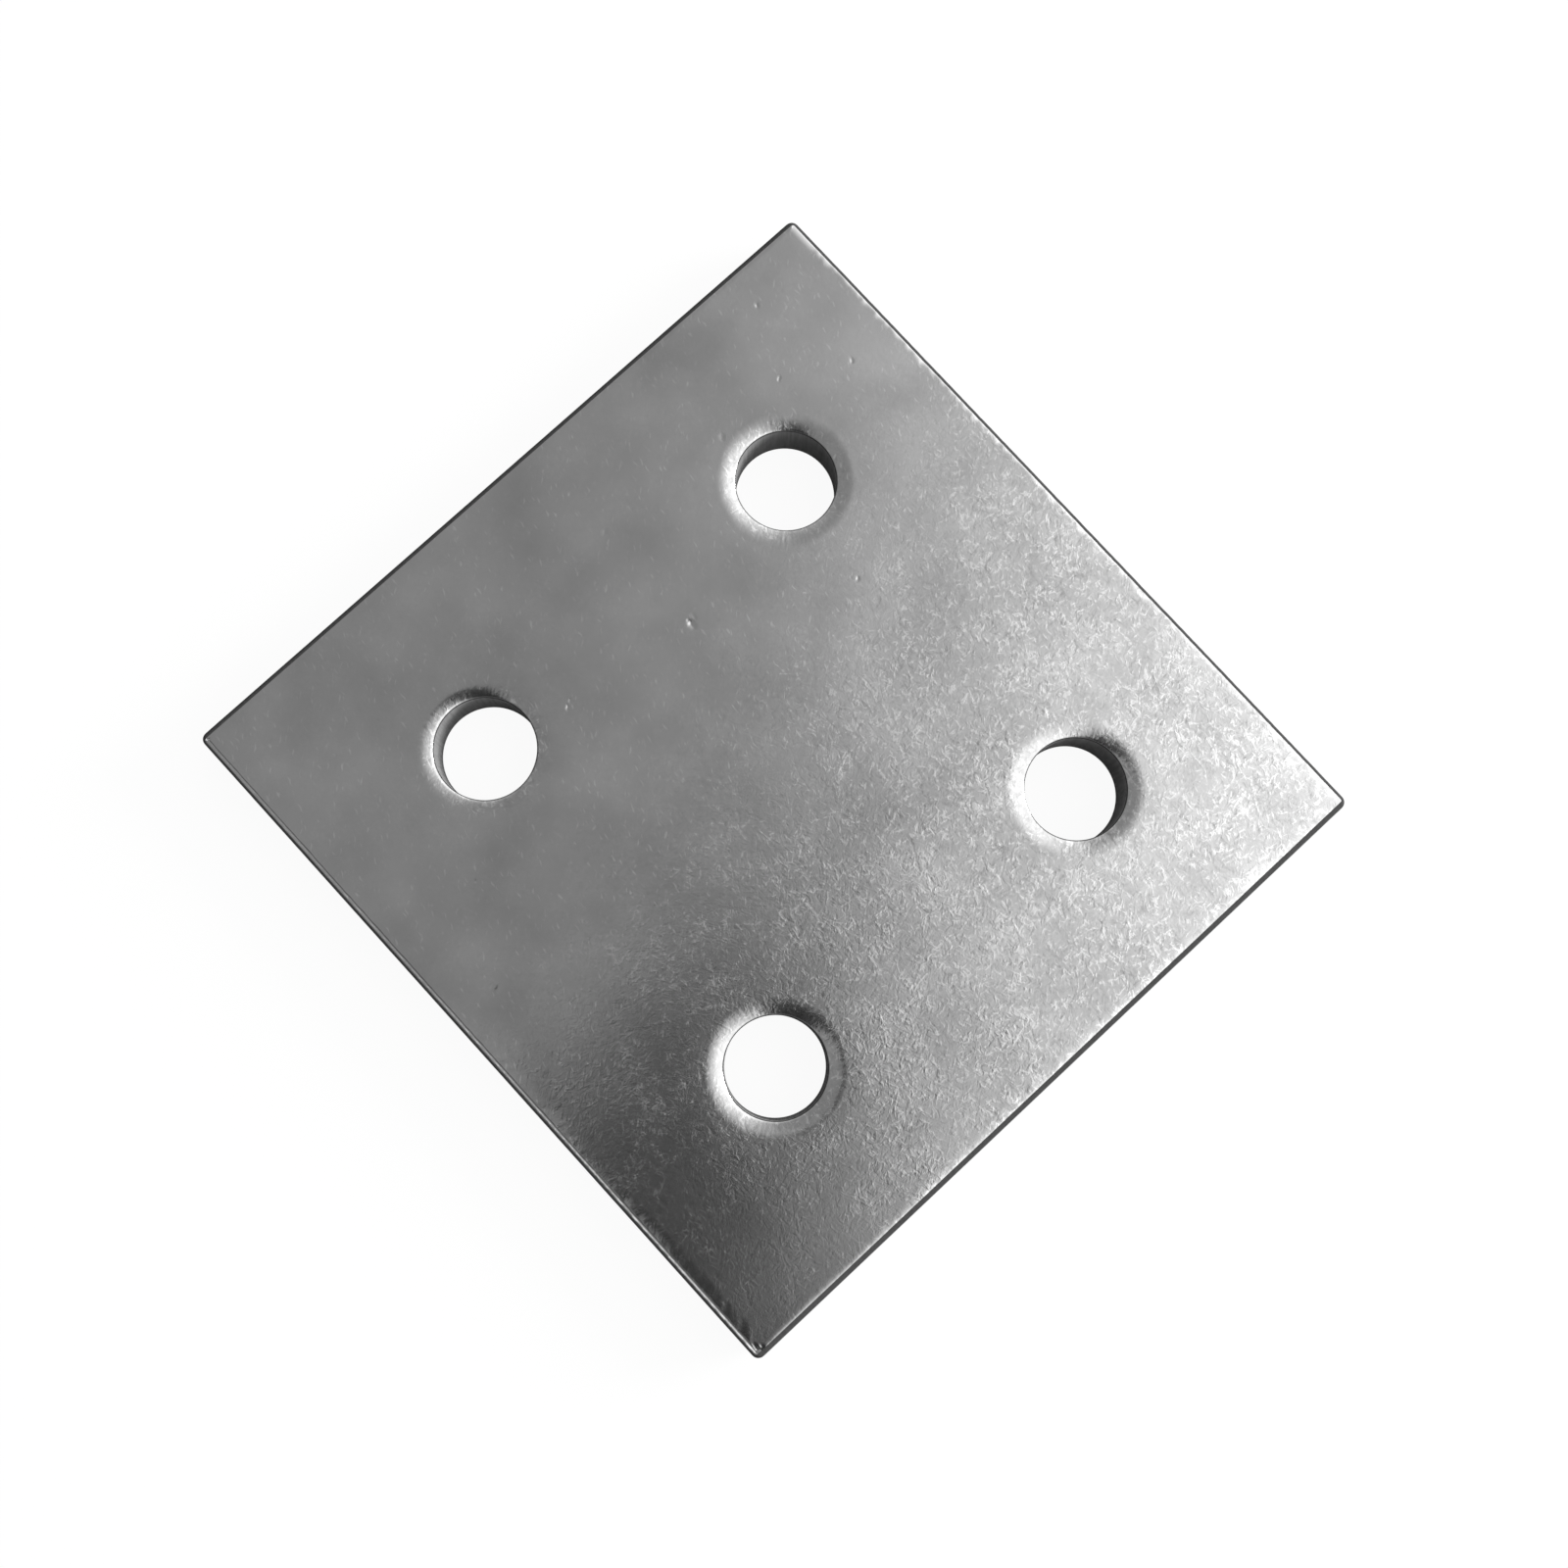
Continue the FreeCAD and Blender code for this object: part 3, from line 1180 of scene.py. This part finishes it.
    def flag(
        self,
        add: AddNode,
        along: bpy.types.NodeSocket,
        across: bpy.types.NodeSocket,
        height: bpy.types.NodeSocket,
    ) -> bpy.types.NodeSocket:
        """Hang the dark flag high above the near side.

        Args:
            add: adds a node to the world's tree.
            along: the direction's part along the plate.
            across: the direction's part across the plate.
            height: the direction's upward part.

        Returns:
            How much of a direction the flag covers.
        """
        upward = add("ShaderNodeMath", {0: height, 1: self.least_height}, operation="MAXIMUM")
        along, across = (
            add("ShaderNodeMath", {0: part, 1: upward}, operation="DIVIDE") for part in (along, across)
        )
        lean = add("ShaderNodeMath", {0: across, 1: self.flag_lean, 2: along}, operation="MULTIPLY_ADD")
        slant = add("ShaderNodeMath", {0: along, 1: self.flag_slant, 2: across}, operation="MULTIPLY_ADD")
        covered = 1.0
        for value, band, levels in (
            (lean, self.flag_side, (0.0, 1.0)),
            (slant, self.flag_edge, (1.0, 0.0)),
            (height, self.flag_band, (0.0, 1.0)),
        ):
            bound = add("ShaderNodeMapRange", {0: value, **between(band, levels)}, **EASED)
            covered = add("ShaderNodeMath", {0: covered, 1: bound}, operation="MULTIPLY")
        return covered

    def lamp(self) -> bpy.types.Object:
        """Stand a softbox on the window's side, low enough to reach into the holes.

        Returns:
            The lamp's object.
        """
        light = bpy.data.lights.new("softbox", "AREA")
        light.energy = self.lamp_power
        light.size = self.lamp_size
        lamp = bpy.data.objects.new("softbox", light)
        toward = polar(self.lamp_azimuth, self.lamp_elevation)
        lamp.location = toward * self.lamp_distance
        lamp.rotation_euler = toward.to_track_quat("Z", "Y").to_euler()
        bpy.context.scene.collection.objects.link(lamp)
        return lamp


@dataclass(frozen=True)
class Viewpoint:
    """Where the photograph was taken from: nearly straight above, the plate turned to a diamond."""

    place_mm: tuple[float, float, float] = (19.23, -22.06, 239.67)
    turn_deg: tuple[float, float, float] = (6.743, -1.043, 47.385)
    lens_mm: float = 44.27
    sensor_mm: float = 36.0
    nearest: float = 0.005

    def camera(self) -> bpy.types.Object:
        """Place the camera and make it the scene's.

        Returns:
            The camera's object.
        """
        lens = bpy.data.cameras.new("camera")
        lens.sensor_width = self.sensor_mm
        lens.lens = self.lens_mm
        lens.clip_start = self.nearest
        camera = bpy.data.objects.new("camera", lens)
        camera.location = Vector(self.place_mm) * MM
        camera.rotation_euler = [math.radians(turn) for turn in self.turn_deg]
        bpy.context.scene.collection.objects.link(camera)
        bpy.context.scene.camera = camera
        return camera


def main() -> None:
    """Build the plate and its studio, and note the model's size."""
    logging.basicConfig(level=logging.INFO, format="%(name)s: %(message)s")
    bpy.context.scene.view_settings.view_transform = "Standard"
    plate = EmbedPlate.from_frame().build()
    log.info("%s: %d faces", plate.name, len(plate.data.polygons))
    studio = Studio()
    for piece in (studio.floor(), studio.world(), studio.lamp(), Viewpoint().camera()):
        log.info("%s placed", piece.name)


if __name__ == "__main__":
    main()
